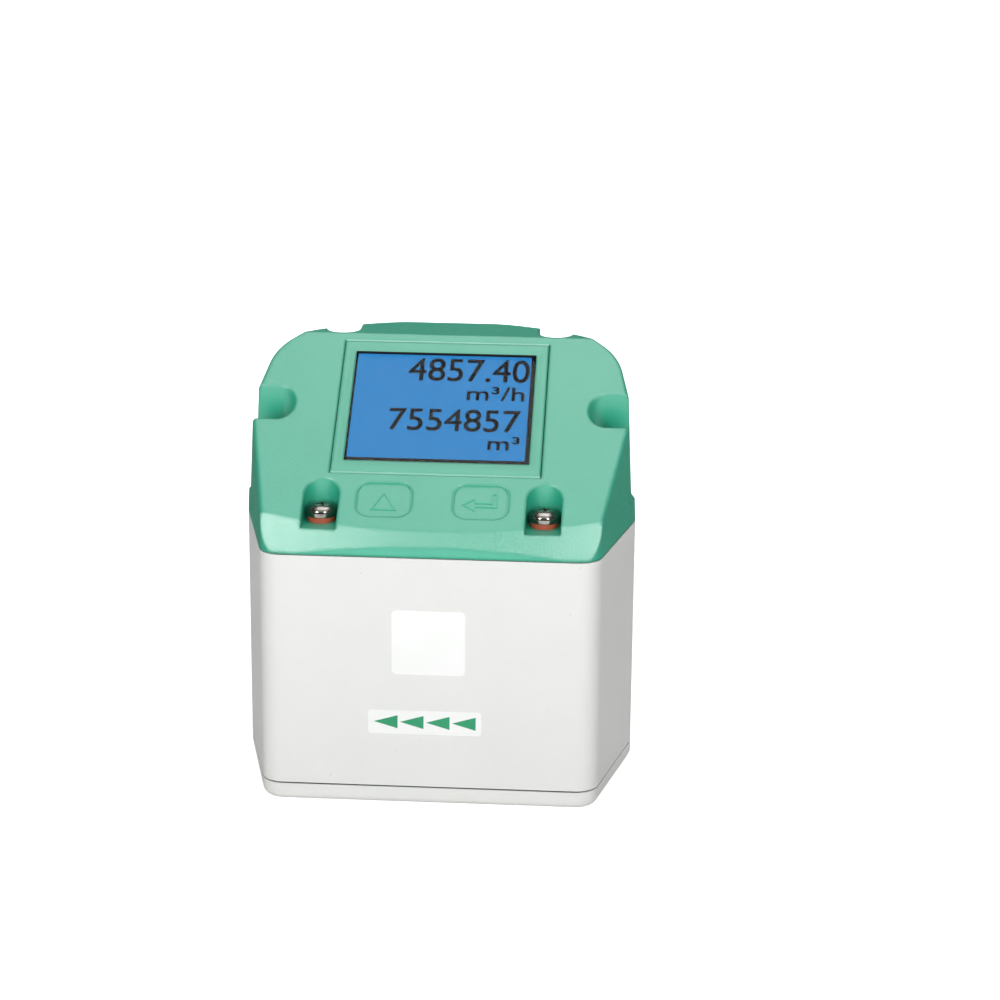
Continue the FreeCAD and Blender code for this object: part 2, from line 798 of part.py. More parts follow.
cover = new_body("display_cover")
outline = new_sketch(cover, "cover_outline", z=head_bottom)
add_hexagon(outline, half_front, half_depth, half_ridge)
pad(cover, "cover_block", outline, head_top - head_bottom)
lean_walls(cover, "cover_draft", cell("draft_angle"))
slope_cut(cover, "sloped_face", 0)
rear_cut(cover, "rear_rounding", as_size(0))


def points_of(edge):
    """Five points spread along an edge."""
    first, last = edge.ParameterRange
    return [edge.valueAt(first + (last - first) * part / 4) for part in range(5)]


def at_shoulder(edge):
    """True for the edges between the rear rounding and the side walls."""
    start, _, middle, _, end = points_of(edge)
    beside = abs(middle.x) > half_front.value and middle.y > ridge_along.value
    below_top = max(start.z, end.z) < head_top.value
    return beside and below_top and abs(start.z - end.z) > cell("corner_radius").value


round_edges(cover, "cover_shoulders", cell("shoulder_radius"), at_shoulder)
round_edges(cover, "cover_corners", cell("corner_radius"), at_corner)
round_edges(cover, "cover_ridges", cell("ridge_radius"), at_ridge)
fold_radius = cell("front_radius")
fold_along = half_depth - cell("fold_inset")
fold_height = face_origin + tangent(tilt) * cell("fold_inset")
apron = new_sketch(cover, "front_apron_profile", "YZ_Plane", x=fold_radius - fold_along)
apron_low = head_bottom
apron_high = fold_height + beyond
apron_grow = tangent(cell("front_slope"))
add_outline(apron, [
    (fold_radius + apron_grow * (fold_height - apron_low), apron_low),
    (fold_radius + beyond, apron_low),
    (fold_radius + beyond, apron_high),
    (fold_radius - apron_grow * beyond, apron_high),
])
turn_feature(cover, "Groove", "front_apron", apron)


def distance_to_face(point):
    """Distance of a point from the plane of the sloped face."""
    along = point.y + half_depth.value
    up = point.z - face_origin.value
    return up * cosine(tilt).value - along * sine(tilt).value


def on_face(edge):
    """True for an edge that lies in the plane of the sloped face."""
    return edge.Length > 0.01 and all(abs(distance_to_face(point)) < 0.005 for point in points_of(edge))


def at_face_edge(edge):
    """True for the edges of the sloped face and of the flat top behind it."""
    on_top = all(abs(point.z - head_top.value) < 0.005 for point in points_of(edge))
    return on_top or on_face(edge)


round_edges(cover, "cover_edges", cell("edge_radius"), at_face_edge)

# Room inside the cover, with a lining left around each screw slot
room = new_body("cover_room")
outline = new_sketch(room, "room_outline", z=head_bottom)
inset_hexagon(outline, cell("cover_wall"), cell("cover_wall"))
pad(room, "room_block", outline, head_top - cell("face_wall") - head_bottom)
lean_walls(room, "room_draft", cell("draft_angle"))
slope_cut(room, "room_slope", cell("face_wall"))
rear_cut(room, "room_rear", cell("cover_wall"))


def slot_outlines(body, name, radius, height):
    """Slots with a round end about each screw's axis, open outwards through the wall."""
    sketch = new_sketch(body, name, z=height)
    zero = as_size(0)
    shape = [(far, -radius), (far, radius), (zero, radius), (-radius, zero), (zero, -radius)]
    arcs = {2: radius, 3: radius}
    for side in (-1, 1):
        add_outline(sketch, [(side_slot_across * side + x * side, y * side) for x, y in shape], arcs)
        for centre in (-slot_across, slot_across):
            add_outline(sketch, [(centre - y * side, slot_along * side + x * side) for x, y in shape], arcs)
    return sketch


lining_radius = cell("slot_radius") + cell("slot_lining")
pocket(room, "slot_linings", slot_outlines(room, "lining_outlines", lining_radius, plate_top), reverse=True)

hollowing = cover.newObject("PartDesign::Boolean", "cover_hollow")
hollowing.Type = "Cut"
hollowing.addObjects([room])
pocket(cover, "screw_slots", slot_outlines(cover, "slot_outlines", cell("slot_radius"), ledge), reverse=True)
screw_way = cell("screw_radius") + cell("screw_clearance") * 2
screw_ways = new_sketch(cover, "screw_ways", z=ledge)
for x, y in cover_screw_points:
    add_circle(screw_ways, screw_way, x, y)
pocket(cover, "screw_way_cuts", screw_ways, ledge - plate_top + 1)


def face_sketch(body, name, depth=0):
    """Sketch on the sloped face, or on a plane at a depth below it, with y up the face."""
    depth = as_size(depth)
    y = -half_depth + depth * sine(tilt)
    z = face_origin - depth * cosine(tilt)
    return new_sketch(body, name, y=y, z=z, turn=tilt)


opening = face_sketch(cover, "bezel_opening")
add_rectangle(
    opening, -bezel_half - cell("bezel_gap"), cell("bezel_start") - cell("bezel_gap"),
    bezel_half + cell("bezel_gap"), bezel_end + cell("bezel_gap"))
pocket(cover, "bezel_opening_cut", opening, cell("face_wall") * 1.2)


def at_opening(edge):
    """True for the edges of the bezel's opening."""
    middle = edge.CenterOfMass
    along = (middle.y + half_depth.value) / cosine(tilt).value
    beside = abs(middle.x) < bezel_half.value + 1
    return on_face(edge) and beside and (bezel_end.value + 1) > along > cell("bezel_start").value - 1


def at_key(edge):
    """True for the edges of the key recesses."""
    middle = edge.CenterOfMass
    along = (middle.y + half_depth.value) / cosine(tilt).value
    key_end = cell("key_start") + cell("key_height")
    beside = abs(middle.x) < (cell("key_across") + cell("key_width")).value
    return on_face(edge) and beside and key_end.value + 0.1 > along > cell("key_start").value - 0.1


def at_slot(edge):
    """True for the edges of the screw slots on the sloped face."""
    middle = edge.CenterOfMass
    reach = cell("slot_radius").value * 1.2
    front = abs(abs(middle.x) - slot_across.value) < reach and middle.y < -half_depth.value / 2
    side = abs(middle.y) < reach and abs(middle.x) > side_slot_across.value - reach
    return on_face(edge) and (front or side)


round_edges(cover, "opening_rim", cell("rim_radius"), at_opening)
round_edges(cover, "slot_rims", cell("rim_radius"), at_slot)
keys = face_sketch(cover, "key_recesses")
for side in (-1, 1):
    centre = cell("key_across") * side
    add_rounded_rectangle(
        keys, centre - cell("key_width") / 2, cell("key_start"), centre + cell("key_width") / 2,
        cell("key_start") + cell("key_height"), cell("key_radius"))
pocket(cover, "key_recess_cuts", keys, cell("key_depth"))
round_edges(cover, "key_rims", cell("key_rim_radius"), at_key)
window_back = cell("window_lip_depth") + cell("window_thickness")
screen_back = window_back + cell("screen_block")
display_low = cell("bezel_start") + cell("display_board_low_inset")
display_high = bezel_end - cell("display_board_high_inset")
post_low = display_low + cell("display_post_margin")
post_high = display_high - cell("display_post_margin")
post_across = bezel_half + cell("bezel_flange") + cell("fit_gap") + cell("display_post_radius")
display_posts = [(across, along) for across in (-post_across, post_across) for along in (post_low, post_high)]
posts = face_sketch(cover, "display_posts", cell("face_wall") * 0.8)
for x, y in display_posts:
    add_circle(posts, cell("display_post_radius"), x, y)
pad(cover, "display_post_pads", posts, screen_back - cell("face_wall") * 0.8, reverse=True)
post_holes = face_sketch(cover, "display_post_holes", screen_back)
for x, y in display_posts:
    add_circle(post_holes, cell("small_screw_radius") + cell("running_clearance"), x, y)
pocket(cover, "display_post_hole_cuts", post_holes, screen_back - cell("face_wall") / 2, reverse=True)
nodes["display_cover"] = cover


def face_body(label):
    """Body whose own XY plane is the sloped face, with y up the face and z out of it."""
    body = new_body(label)
    place(body, 0, -half_depth, face_origin, tilt)
    return body


# Display: bezel, window, screen and its carrier
window_half = bezel_half - cell("bezel_side_rim")
window_start = cell("bezel_start") + cell("bezel_end_rim")
window_end = bezel_end - cell("bezel_end_rim")
seat_half = window_half + cell("window_lip")
seat_start = window_start - cell("window_lip")
seat_end = window_end + cell("window_lip")

bezel = face_body("display_bezel")
front = new_sketch(bezel, "bezel_front")
add_rectangle(front, -bezel_half, cell("bezel_start"), bezel_half, bezel_end)
pad(bezel, "bezel_block", front, cell("face_wall"), reverse=True)
# The flange ends short of the linings of the front slots
lining_reach = cell("slot_end_inset") + lining_radius - cell("face_wall") * sine(tilt)
flange_start = lining_reach / cosine(tilt) + cell("fit_gap") * 2
flange = new_sketch(bezel, "bezel_flange", z=-cell("face_wall"))
add_rectangle(
    flange, -bezel_half - cell("bezel_flange"), flange_start,
    bezel_half + cell("bezel_flange"), window_end)
pad(bezel, "bezel_flange_sheet", flange, cell("bezel_flange_thickness"), reverse=True)
pane_seat = new_sketch(bezel, "pane_seat", z=-cell("window_lip_depth"))
add_rectangle(pane_seat, -seat_half, seat_start, seat_half, seat_end)
pocket(bezel, "pane_seat_cut", pane_seat)
sight = new_sketch(bezel, "sight_opening")
add_rectangle(sight, -window_half, window_start, window_half, window_end)
pocket(bezel, "sight_opening_cut", sight)
nodes["display_bezel"] = bezel

gap = cell("fit_gap")
pane = face_body("display_window")
pane_sketch = new_sketch(pane, "pane_outline", z=-window_back)
add_rectangle(pane_sketch, -seat_half + gap, seat_start + gap, seat_half - gap, seat_end - gap)
pad(pane, "pane_sheet", pane_sketch, cell("window_thickness"))
nodes["display_window"] = pane

border = cell("screen_border")
screen_left = -window_half + border - cell("screen_shift")
screen_right = window_half - border - cell("screen_shift")
carrier = face_body("screen_carrier")
carrier_sketch = new_sketch(carrier, "carrier_outline", z=-screen_back)
add_rectangle(carrier_sketch, -seat_half + gap, seat_start + gap, seat_half - gap, seat_end - gap)
pad(carrier, "carrier_block", carrier_sketch, cell("screen_block"))
screen_seat = new_sketch(carrier, "screen_seat", z=-window_back)
add_rectangle(screen_seat, screen_left, window_start + border, screen_right, window_end - border)
pocket(carrier, "screen_seat_cut", screen_seat, cell("screen_thickness"))
nodes["screen_carrier"] = carrier

screen = face_body("display_screen")
screen_sketch = new_sketch(screen, "screen_outline", z=-window_back)
add_rectangle(screen_sketch, screen_left, window_start + border, screen_right, window_end - border)
pad(screen, "screen_sheet", screen_sketch, cell("screen_thickness"), reverse=True)
nodes["display_screen"] = screen

# Display board behind the screen, narrower where it passes the side slots
board_back = screen_back + cell("board_thickness")
display_across = post_across + cell("display_board_rim")
waist_across = side_slot_across - lining_radius - cell("display_board_clearance")
waist_reach = lining_radius + cell("display_board_clearance")
waist_low = (half_depth - waist_reach - board_back * sine(tilt)) / cosine(tilt)
waist_high = (half_depth + waist_reach - screen_back * sine(tilt)) / cosine(tilt)
display_board = face_body("display_board")
display_sketch = new_sketch(display_board, "display_board_outline", z=-board_back)
add_outline(display_sketch, [
    (-display_across, display_low),
    (display_across, display_low),
    (display_across, waist_low),
    (waist_across, waist_low),
    (waist_across, waist_high),
    (display_across, waist_high),
    (display_across, display_high),
    (-display_across, display_high),
    (-display_across, waist_high),
    (-waist_across, waist_high),
    (-waist_across, waist_low),
    (-display_across, waist_low),
])
for x, y in display_posts:
    add_circle(display_sketch, cell("small_screw_radius") + cell("screw_clearance"), x, y)
pad(display_board, "display_board_sheet", display_sketch, cell("board_thickness"))
nodes["display_board"] = display_board

# Screws of the display board and the pads of the touch keys
display_screws = []
display_screw_tip = screen_back - cell("face_wall") / 2
for number, (x, y) in enumerate(display_posts, start=1):
    screw = turned(f"display_board_screw_{number}", [
        (0, -cell("small_screw_head_height")),
        (cell("small_screw_head_radius"), -cell("small_screw_head_height")),
        (cell("small_screw_head_radius"), 0),
        (cell("small_screw_radius"), 0),
        (cell("small_screw_radius"), cell("board_thickness") + display_screw_tip),
        (0, cell("board_thickness") + display_screw_tip),
    ])
    screw_y = -half_depth + y * cosine(tilt) + board_back * sine(tilt)
    screw_z = face_origin + y * sine(tilt) - board_back * cosine(tilt)
    place(screw, x, screw_y, screw_z, tilt)
    display_screws.append(screw)
nodes["display_board_screws"] = group("display_board_screws", display_screws)

touch_pads = []
for number, side in enumerate((-1, 1), start=1):
    touch_pad = face_body(f"touch_pad_{number}")
    pad_sketch = new_sketch(touch_pad, f"touch_pad_outline_{number}", z=-cell("face_wall"))
    centre = cell("key_across") * side
    margin = cell("pad_margin")
    add_rectangle(
        pad_sketch, centre - cell("key_width") / 2 + margin, cell("key_start") + margin,
        centre + cell("key_width") / 2 - margin, cell("key_start") + cell("key_height") - margin)
    pad(touch_pad, f"touch_pad_sheet_{number}", pad_sketch, cell("pad_thickness"), reverse=True)
    touch_pads.append(touch_pad)
nodes["touch_pads"] = group("touch_pads", touch_pads)

# Plug under the display board and the cable that hangs from it down to the socket
plug = new_body("cable_plug")
plug_sketch = new_sketch(plug, "plug_outline", z=cell("plug_height"))
add_circle(plug_sketch, cell("plug_radius"))
pad(plug, "plug_block", plug_sketch, head_top - cell("plug_height"))
slope_cut(plug, "plug_slope", board_back)
nodes["cable_plug"] = plug
cable_low = socket_bed + cell("fit_gap") * 2
cable = doc.addObject("Part::Cylinder", "display_cable")
bind(cable, "Radius", cell("cable_radius"))
bind(cable, "Height", cell("plug_height") - cable_low)
bind(cable, "Placement.Base.z", cable_low)
nodes["display_cable"] = cable

# Rear connectors, each turned about its own axis and set against the rear wall
flange_low = cell("connector_seal")
flange_high = flange_low + cell("connector_flange")
nose = flange_high + cell("connector_thread_length")
tail = -cell("connector_tail")
insert_fit = cell("connector_bore_radius") - gap / 2
pin_spots = [(as_size(0), as_size(0))]
pin_spots += corners_of(cell("connector_pin_circle") * 0.7071, cell("connector_pin_circle") * 0.7071)
for letter, side in (("a", -1), ("b", 1)):
    spot = (cell("connector_across") * side, half_depth, cell("connector_height"), -90)
    shell = turned(f"connector_shell_{letter}", [
        (cell("connector_bore_radius"), tail),
        (cell("connector_body_radius"), tail),
        (cell("connector_body_radius"), flange_low),
        (cell("connector_flange_radius"), flange_low),
        (cell("connector_flange_radius"), flange_high),
        (cell("connector_thread_radius"), flange_high),
        (cell("connector_thread_radius"), nose),
        (cell("connector_bore_radius"), nose),
    ])
    place(shell, *spot)
    nodes[f"connector_shell_{letter}"] = shell

    seal_ring = turned(f"connector_seal_{letter}", [
        (cell("connector_body_radius") + gap, 0),
        (cell("connector_flange_radius") - gap * 4, 0),
        (cell("connector_flange_radius") - gap * 4, flange_low),
        (cell("connector_body_radius") + gap, flange_low),
    ])
    place(seal_ring, *spot)
    nodes[f"connector_seal_{letter}"] = seal_ring

    core = new_body(f"connector_insert_{letter}")
    core_sketch = new_sketch(core, f"insert_outline_{letter}", z=tail)
    add_circle(core_sketch, insert_fit)
    for x, y in pin_spots:
        add_circle(core_sketch, cell("connector_pin_radius") + gap / 2, x, y)
    pad(core, f"insert_block_{letter}", core_sketch, cell("connector_insert_face") - tail)
    place(core, *spot)
    nodes[f"connector_insert_{letter}"] = core

    pins = []
    for number, (x, y) in enumerate(pin_spots, start=1):
        pin = doc.addObject("Part::Cylinder", f"connector_pin_{letter}_{number}")
        bind(pin, "Radius", cell("connector_pin_radius"))
        bind(pin, "Height", cell("connector_pin_reach") + cell("connector_insert_face") - tail)
        pin.Placement = Placement(Vector(), Rotation(Vector(1, 0, 0), -90))
        bind(pin, "Placement.Base.x", spot[0] + x)
        bind(pin, "Placement.Base.y", half_depth + tail)
        bind(pin, "Placement.Base.z", spot[2] + y)
        pins.append(pin)
    nodes[f"connector_pins_{letter}"] = group(f"connector_pins_{letter}", pins)

    nut = new_body(f"connector_nut_{letter}")
    nut_sketch = new_sketch(nut, f"nut_outline_{letter}", z=-cell("wall"))
    flat = cell("connector_nut_width") / 2
    point = flat / cosine(as_size(30))
    add_hexagon(nut_sketch, point / 2, flat, point)
    add_circle(nut_sketch, cell("connector_body_radius") + gap)
    pad(nut, f"nut_block_{letter}", nut_sketch, cell("connector_nut_thickness"), reverse=True)
    place(nut, *spot)
    nodes[f"connector_nut_{letter}"] = nut


def label_body(label, width, height, centre_height, shift=0):
    """Sheet with rounded corners on the housing's front face."""
    body = new_body(label)
    sketch = new_sketch(body, f"{label}_outline", "XZ_Plane", z=half_depth)
    middle = as_size(0) - shift
    low = centre_height - height / 2
    left = middle - width / 2
    add_rounded_rectangle(sketch, left, low, left + width, low + height, cell("label_radius"))
    pad(body, f"{label}_sheet", sketch, cell("label_thickness"))
    return body


# Labels on the front face
nodes["front_label"] = label_body(
    "front_label", cell("label_width"), cell("label_height"), cell("label_centre_height"))
nodes["flow_label"] = label_body(
    "flow_label", cell("flow_label_width"), cell("flow_label_height"), cell("flow_label_centre_height"),
    cell("flow_label_shift"))

doc.recompute()
for item in doc.Objects:
    if "Invalid" in item.State or "Error" in item.State:
        raise RuntimeError(f"{item.Name} did not build: {item.State}")
os.makedirs("parts", exist_ok=True)
for name, item in nodes.items():
    shape = item.Shape
    if shape.isNull() or not shape.isValid():
        raise RuntimeError(f"{name} has no sound shape")
    shape.exportStep(f"parts/{name}.step")
    print(name, len(shape.Solids), round(shape.Volume, 2))
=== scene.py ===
import json
import math

import bpy
from mathutils import Matrix, Vector


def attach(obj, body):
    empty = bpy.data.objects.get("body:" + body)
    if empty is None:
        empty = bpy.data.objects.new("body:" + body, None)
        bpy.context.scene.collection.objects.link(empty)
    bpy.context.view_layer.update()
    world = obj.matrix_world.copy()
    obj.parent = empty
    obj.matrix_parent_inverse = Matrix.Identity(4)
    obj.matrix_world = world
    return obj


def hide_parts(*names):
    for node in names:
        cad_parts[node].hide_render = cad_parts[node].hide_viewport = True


# Looks of the flow meter head: materials, display, signs, screws and connectors.
# Shapes are drawn in millimetres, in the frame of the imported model, and become metres with their meshes.

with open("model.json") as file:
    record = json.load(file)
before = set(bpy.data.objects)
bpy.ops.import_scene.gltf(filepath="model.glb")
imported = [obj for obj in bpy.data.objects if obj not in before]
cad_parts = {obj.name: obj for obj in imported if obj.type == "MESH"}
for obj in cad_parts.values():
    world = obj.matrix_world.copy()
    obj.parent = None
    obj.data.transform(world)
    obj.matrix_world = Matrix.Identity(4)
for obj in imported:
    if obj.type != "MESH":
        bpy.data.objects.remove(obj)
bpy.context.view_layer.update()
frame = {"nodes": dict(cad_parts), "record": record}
nodes = frame["nodes"]
MM = 0.001

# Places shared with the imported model
half_depth = max(vertex.co.y for vertex in nodes["housing"].data.vertices) / MM
COVER_SCREW_ACROSS = 21.1
COVER_SCREW_ALONG = 18.8
SIDE_SCREW_ACROSS = 31.8
COVER_SCREW_SEAT = 55.1
BASE_SCREW_ACROSS = 27.8
BASE_SCREW_ALONG = 20.3
BASE_SCREW_SEAT = 1.6
CONNECTOR_ACROSS = 12.5
CONNECTOR_HEIGHT = 15.6
FACE_TILT = 34
FACE_HEIGHT = 53.2
KEY_ACROSS = 9.15
KEY_HALF_WIDTH = 5.25
KEY_LOW = 5.5
KEY_HIGH = 13.8
KEY_RADIUS = 2.6
KEY_FLOOR = -0.3
SEAM = 0.15


# Colours are written as on a screen, 0 to 255, and turned into the linear values of the shaders

def linear(colour):
    values = []
    for number in colour:
        part = number / 255
        values.append(part / 12.92 if part <= 0.04045 else ((part + 0.055) / 1.055) ** 2.4)
    return (*values, 1.0)


# Materials

# Most of a noise lies between these two values
NOISE_LOW = 0.3
NOISE_HIGH = 0.7


class Finish:
    """A node material with short ways to add noise to its colour, roughness and normal."""

    def __init__(self, name):
        self.material = bpy.data.materials.new(name)
        self.material.use_nodes = True
        self.nodes = self.material.node_tree.nodes
        self.links = self.material.node_tree.links
        self.shader = self.nodes["Principled BSDF"]
        self.place = self.nodes.new("ShaderNodeTexCoord")

    def set(self, **values):
        for name, value in values.items():
            socket = name.replace("_", " ").title().replace("Ior", "IOR")
            self.shader.inputs[socket].default_value = value
        return self

    def noise(self, size, detail=2.0, stretch=(1, 1, 1)):
        """Noise whose lumps are about the given size in millimetres."""
        scaled = self.nodes.new("ShaderNodeMapping")
        scaled.inputs["Scale"].default_value = stretch
        texture = self.nodes.new("ShaderNodeTexNoise")
        texture.inputs["Scale"].default_value = 1 / (size * MM)
        texture.inputs["Detail"].default_value = detail
        self.links.new(self.place.outputs["Object"], scaled.inputs["Vector"])
        self.links.new(scaled.outputs["Vector"], texture.inputs["Vector"])
        return texture.outputs["Fac"]

    def ramp(self, source, stops):
        """Colour ramp through stops of position and colour."""
        ramp = self.nodes.new("ShaderNodeValToRGB")
        elements = ramp.color_ramp.elements
        while len(elements) < len(stops):
            elements.new(0.5)
        for element, (position, colour) in zip(elements, stops):
            element.position = position
            element.color = linear(colour)
        self.links.new(source, ramp.inputs["Fac"])
        return ramp.outputs["Color"]

    def shades(self, source, dark, light):
        """Colour between a dark and a light shade."""
        return self.ramp(source, [(NOISE_LOW, dark), (NOISE_HIGH, light)])

    def colour(self, source, dark, light):
        self.links.new(self.shades(source, dark, light), self.shader.inputs["Base Color"])
        return self

    def roughness(self, source, low, high):
        spread = self.nodes.new("ShaderNodeMapRange")
        spread.inputs["From Min"].default_value = NOISE_LOW
        spread.inputs["From Max"].default_value = NOISE_HIGH
        spread.inputs["To Min"].default_value = low
        spread.inputs["To Max"].default_value = high
        self.links.new(source, spread.inputs["Value"])
        self.links.new(spread.outputs["Result"], self.shader.inputs["Roughness"])
        return self

    def specks(self, spacing, radius, shade):
        """Small dark specks a few millimetres apart, laid over the colour."""
        texture = self.nodes.new("ShaderNodeTexVoronoi")
        texture.inputs["Scale"].default_value = 1 / (spacing * MM)
        self.links.new(self.place.outputs["Object"], texture.inputs["Vector"])
        edge = radius / spacing
        spots = self.ramp(texture.outputs["Distance"], [(0, shade), (edge, (255, 255, 255))])
        laid = self.nodes.new("ShaderNodeMix")
        laid.data_type = "RGBA"
        laid.blend_type = "MULTIPLY"
        laid.inputs["Factor"].default_value = 1.0
        colour = self.shader.inputs["Base Color"]
        self.links.new(colour.links[0].from_socket, laid.inputs["A"])
        self.links.new(spots, laid.inputs["B"])
        self.links.new(laid.outputs["Result"], colour)
        return self

    def bump(self, source, height, strength=1.0):
        """Bump of the given height in millimetres."""
        bump = self.nodes.new("ShaderNodeBump")
        bump.inputs["Strength"].default_value = strength
        bump.inputs["Distance"].default_value = height * MM
        self.links.new(source, bump.inputs["Height"])
        self.links.new(bump.outputs["Normal"], self.shader.inputs["Normal"])
        return self

    def soft_edges(self, radius):
        """Shades the edges as if rounded by a radius in millimetres, under the bump."""
        bevel = self.nodes.new("ShaderNodeBevel")
        bevel.samples = 4
        bevel.inputs["Radius"].default_value = radius * MM
        bump = self.shader.inputs["Normal"].links[0].from_node
        self.links.new(bevel.outputs["Normal"], bump.inputs["Normal"])
        return self


def moulded(name, dark, light, grain, height, low, high):
    """Spark-eroded moulded plastic: cloudy colour, fine grain in the gloss and the surface."""
    finish = Finish(name)
    finish.colour(finish.noise(9, 4), dark, light)
    finish.roughness(finish.noise(grain * 3), low, high)
    finish.bump(finish.noise(grain, 3), height)
    return finish


def metal(name, dark, light, low, high, stretch=(1, 1, 1)):
    """Bare or plated metal with fine marks along the stretched way."""
    finish = Finish(name)
    finish.set(metallic=1.0)
    finish.colour(finish.noise(1.5, 4), dark, light)
    finish.roughness(finish.noise(0.4, 3, stretch), low, high)
    finish.bump(finish.noise(0.25, 3, stretch), 0.002)
    return finish


# Plastics: darkest and lightest colour, size of the grain, height of the bump, least and most roughness.
# Metals: darkest and lightest colour, least and most roughness.
finishes = {
    "green_shell": moulded("green_shell", (46, 180, 146), (52, 184, 150), 0.22, 0.05, 0.28, 0.38),
    # Lighter copy of the green shell: painted light on the key signs and the rims of the key recesses
    "green_painted_light": moulded("green_painted_light", (66, 190, 158), (72, 194, 162), 0.22, 0.01, 0.34, 0.44),
    # Much lighter copy of the green shell: a painted highlight along the bezel seams
    "green_painted_highlight": moulded("green_painted_highlight", (160, 228, 208), (166, 232, 212), 0.22, 0.01, 0.28, 0.38),
    "white_shell": moulded("white_shell", (234, 235, 232), (236, 237, 234), 0.3, 0.03, 0.45, 0.6),
    "black_plastic": moulded("black_plastic", (16, 16, 17), (24, 24, 26), 0.2, 0.02, 0.4, 0.55),
    "black_rubber": moulded("black_rubber", (20, 20, 20), (30, 30, 30), 0.3, 0.03, 0.7, 0.85),
    "red_fibre": moulded("red_fibre", (172, 74, 48), (206, 104, 70), 0.35, 0.04, 0.5, 0.7),
    "white_label": moulded("white_label", (249, 251, 249), (252, 253, 252), 0.5, 0.008, 0.3, 0.38),
    "green_ink": moulded("green_ink", (44, 156, 108), (52, 164, 116), 0.4, 0.006, 0.35, 0.45),
    "circuit_board": moulded("circuit_board", (22, 84, 48), (30, 98, 58), 0.3, 0.02, 0.35, 0.5),
    "dark_segment": moulded("dark_segment", (24, 22, 21), (30, 28, 26), 0.2, 0.004, 0.5, 0.6),
    "bright_screw": metal("bright_screw", (112, 110, 104), (136, 134, 128), 0.12, 0.2),
    "steel": metal("steel", (150, 151, 153), (184, 185, 187), 0.25, 0.4),
    "nickel": metal("nickel", (186, 182, 172), (212, 208, 198), 0.16, 0.3),
    "brass": metal("brass", (190, 148, 76), (214, 174, 98), 0.22, 0.36),
    "copper_foil": metal("copper_foil", (190, 112, 76), (214, 136, 96), 0.25, 0.4),
}

finishes["green_shell"].set(specular_ior_level=1.0).soft_edges(0.9)
finishes["white_shell"].specks(7, 0.22, (215, 215, 213))
finishes["dark_segment"].set(specular_ior_level=0.1)

screen = Finish("blue_screen")
screen.colour(screen.noise(6, 3), (10, 18, 26), (14, 22, 30))
screen.roughness(screen.noise(0.3), 0.5, 0.6)
glow = screen.shades(screen.noise(6, 3), (38, 127, 194), (41, 129, 196))
screen.links.new(glow, screen.shader.inputs["Emission Color"])
screen.set(emission_strength=1.0, specular_ior_level=0.1)
finishes["blue_screen"] = screen

window = Finish("clear_window")
window.set(transmission_weight=1.0, ior=1.08, base_color=(1, 1, 1, 1))
window.roughness(window.noise(4, 3), 0.0, 0.01)
finishes["clear_window"] = window


def dress(piece, finish):
    piece.data.materials.clear()
    piece.data.materials.append(finishes[finish].material)


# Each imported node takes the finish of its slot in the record
for entry in frame["record"]["subparts"]:
    dress(nodes[entry["node"]], entry["material_slot"])


# Pieces made here

def new_piece(name, mesh, finish, body):
    piece = bpy.data.objects.new(name, mesh)
    bpy.context.scene.collection.objects.link(piece)
    dress(piece, finish)
    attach(piece, body)
    return piece


class Form:
    """Points in millimetres and faces, gathered from several shapes."""

    def __init__(self):
        self.points = []
        self.faces = []

    def add(self, points, faces, place=Matrix.Identity(4)):
        first = len(self.points)
        self.points += [place @ Vector(point) for point in points]
        self.faces += [tuple(first + corner for corner in face) for face in faces]

    def mesh(self, name, smooth=False):
        mesh = bpy.data.meshes.new(name)
        mesh.from_pydata([point * MM for point in self.points], [], self.faces)
        if smooth:
            mesh.shade_smooth()
            mesh.set_sharp_from_angle(angle=math.radians(32))
        return mesh


def turned(profile, segments, radius_at=None, closed=False):
    """Form turned about Z through (radius, height) points, with a pole where the radius is 0."""
    points = []
    rings = []
    for radius, height in profile:
        ring = []
        for number in range(segments if radius else 1):
            angle = 2 * math.pi * number / segments
            reach = radius_at(radius, height, angle) if radius_at else radius
            ring.append(len(points))
            points.append((reach * math.cos(angle), reach * math.sin(angle), height))
        rings.append(ring)
    faces = []
    following = rings[1:] + (rings[:1] if closed else [])
    for low, high in zip(rings, following):
        for number in range(segments):
            after = (number + 1) % segments
            corners = [low[number % len(low)], low[after % len(low)]]
            corners += [high[after % len(high)], high[number % len(high)]]
            faces.append(tuple(dict.fromkeys(corners)))
    return points, faces


def thread(crest, depth, pitch, low, high):
    """Radius of a screw thread between two heights, running out at both ends."""
    def radius_at(radius, height, angle):
        if radius != crest or not low < height < high:
            return radius
        part = (height / pitch - angle / (2 * math.pi)) % 1
        groove = min(1, max(0, 1.4 * abs(2 * part - 1) - 0.2))
        run_out = min(1, (height - low) / pitch, (high - height) / pitch)
        return crest - depth * groove * run_out
    return radius_at


def thread_rings(crest, pitch, low, high):
    """Profile points close enough together to carry the thread."""
    count = round((high - low) / pitch * 8)
    return [(crest, low + (high - low) * number / count) for number in range(count + 1)]


def prism(corners, low, high):
    """Form that stands on a plane outline, given anticlockwise."""
    count = len(corners)
    points = [(x, y, low) for x, y in corners] + [(x, y, high) for x, y in corners]
    faces = [tuple(reversed(range(count))), tuple(range(count, 2 * count))]
    for number in range(count):
        after = (number + 1) % count
        faces.append((number, after, count + after, count + number))
    return points, faces


def inset(corners, width):
    """Outline moved inwards by a width, its corners mitred."""
    moved = []
    for number, corner in enumerate(corners):
        corner = Vector(corner)
        before = (corner - Vector(corners[number - 1])).normalized()
        after = (Vector(corners[(number + 1) % len(corners)]) - corner).normalized()
        inward = (Vector((-before.y, before.x)) + Vector((-after.y, after.x))).normalized()
        moved.append(corner + inward * width / inward.dot(Vector((-after.y, after.x))))
    return moved


